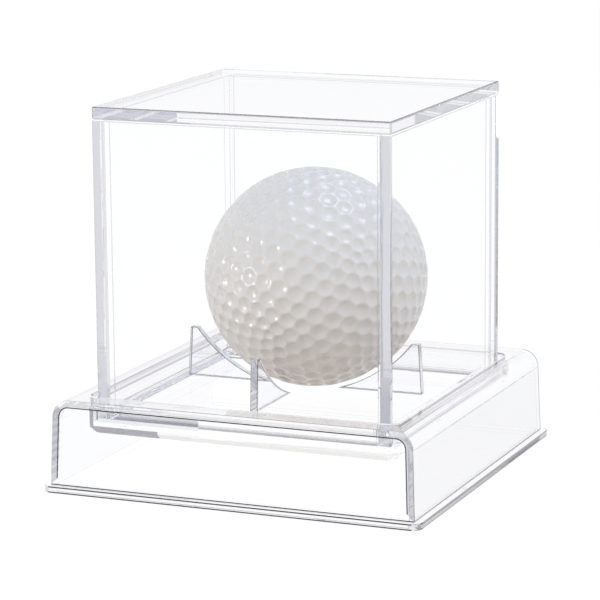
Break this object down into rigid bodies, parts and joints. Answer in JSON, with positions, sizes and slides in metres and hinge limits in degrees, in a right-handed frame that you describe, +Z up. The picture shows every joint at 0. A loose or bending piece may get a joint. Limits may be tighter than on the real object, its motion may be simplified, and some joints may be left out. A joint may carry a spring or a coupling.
{
  "type": "golf ball display case",
  "caption": "Clear square display case: lift-off cover over a raised platform with fins that hold a dimpled ball, on a moulded base with a foot flange.",
  "frame": {"origin": "middle of the foot flange's underside, on the surface that the case stands on", "axes": "+Z up, +X to the right, +Y to the back, with the case's walls along X and Y"},
  "size_m": [0.0766, 0.0766, 0.0731],
  "materials": {
    "base_styrene": "clear moulded polystyrene, polished",
    "fin_acrylic": "clear acrylic sheet, cut and polished",
    "cover_acrylic": "clear acrylic sheet, polished edges",
    "ball_cover": "white lacquered ball cover, dimpled"
  },
  "bodies": {
    "base": {"base_plinth": "base_styrene", "ball_fin_left": "fin_acrylic", "ball_fin_front": "fin_acrylic", "ball_fin_right": "fin_acrylic", "ball_fin_back": "fin_acrylic"},
    "cover": {"cover_front_panel": "cover_acrylic", "cover_back_panel": "cover_acrylic", "cover_left_panel": "cover_acrylic", "cover_right_panel": "cover_acrylic", "cover_top_panel": "cover_acrylic"},
    "ball": {"golf_ball": "ball_cover"}
  },
  "joints": [
    {"name": "cover_lift", "type": "slide", "parent": "base", "child": "cover", "axis": [0, 0, 1], "range_m": [0, 0.07]},
    {"name": "ball_lift", "type": "slide", "parent": "base", "child": "ball", "axis": [0, 0, 1], "range_m": [0, 0.011]}
  ]
}
